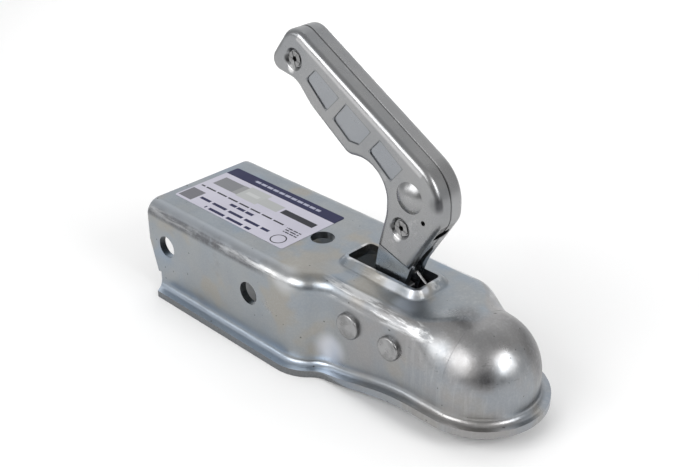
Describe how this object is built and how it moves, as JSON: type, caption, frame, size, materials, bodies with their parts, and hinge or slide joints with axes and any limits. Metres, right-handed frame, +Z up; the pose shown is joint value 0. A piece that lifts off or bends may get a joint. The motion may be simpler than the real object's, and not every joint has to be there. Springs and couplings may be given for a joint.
{
  "type": "trailer coupling head",
  "caption": "Pressed-steel trailer coupling head for a 50 mm tow ball: channel housing with brim and dome, hinged locking handle, ball clamp and link inside.",
  "frame": {"origin": "middle of the footprint's box, on the plane of the rear brim that it stands on", "axes": "+X forward to the ball nose, +Z up, the symmetry plane is Y = 0"},
  "size_m": [0.2434, 0.0932, 0.1693],
  "materials": {
    "zinc_sheet": "bright zinc plating on drawn sheet",
    "handle_zinc": "smooth bright zinc plating",
    "rivet_steel": "zinc plated, dull",
    "inner_steel": "plain zinc plated steel, greased",
    "spring_steel": "drawn spring wire",
    "label": "printed vinyl sticker"
  },
  "bodies": {
    "base": {"housing_rear_top": "zinc_sheet", "housing_rear_right": "zinc_sheet", "housing_rear_left": "zinc_sheet", "housing_neck_top": "zinc_sheet", "housing_neck_right": "zinc_sheet", "housing_neck_left": "zinc_sheet", "housing_nose_right": "zinc_sheet", "housing_nose_left": "zinc_sheet", "label": "label", "handle_rivet": "rivet_steel", "clamp_rivet": "rivet_steel", "handle_spacer_right": "inner_steel", "handle_spacer_left": "inner_steel", "pivot_washer_right": "rivet_steel", "pivot_washer_left": "rivet_steel", "clamp_spacer_right": "inner_steel", "clamp_spacer_left": "inner_steel"},
    "handle": {"handle_shell_right": "handle_zinc", "handle_shell_left": "handle_zinc", "pivot_sleeve": "rivet_steel", "return_spring": "spring_steel", "link_pin_rear": "rivet_steel", "catch_pin": "rivet_steel", "catch_spring": "spring_steel", "grip_rivet_upper": "rivet_steel", "grip_rivet_lower": "rivet_steel"},
    "link": {"link": "inner_steel"},
    "clamp": {"ball_clamp": "inner_steel", "link_pin_front": "rivet_steel"},
    "catch": {"locking_catch": "inner_steel"}
  },
  "joints": [
    {"name": "handle_hinge", "type": "hinge", "parent": "base", "child": "handle", "pos_m": [0.0275, 0, 0.0361], "axis": [0, -1, 0], "range_deg": [0, 36]},
    {"name": "clamp_hinge", "type": "hinge", "parent": "base", "child": "clamp", "pos_m": [0.0547, 0, 0.0361], "axis": [0, -1, 0], "range_deg": [0, 21.6]},
    {"name": "link_hinge", "type": "hinge", "parent": "handle", "child": "link", "pos_m": [0.02395, 0, 0.02516], "axis": [0, 1, 0], "range_deg": [0, 39.5]},
    {"name": "catch_hinge", "type": "hinge", "parent": "handle", "child": "catch", "pos_m": [0.0333, 0, 0.053], "axis": [0, -1, 0], "range_deg": [0, 8], "stiffness_Nm_per_rad": 0.2, "springref_deg": -11.46}
  ],
  "couplings": [
    {"joint": "clamp_hinge", "follows": "handle_hinge", "ratio": 0.6},
    {"joint": "link_hinge", "follows": "handle_hinge", "ratio": 1.0942}
  ]
}
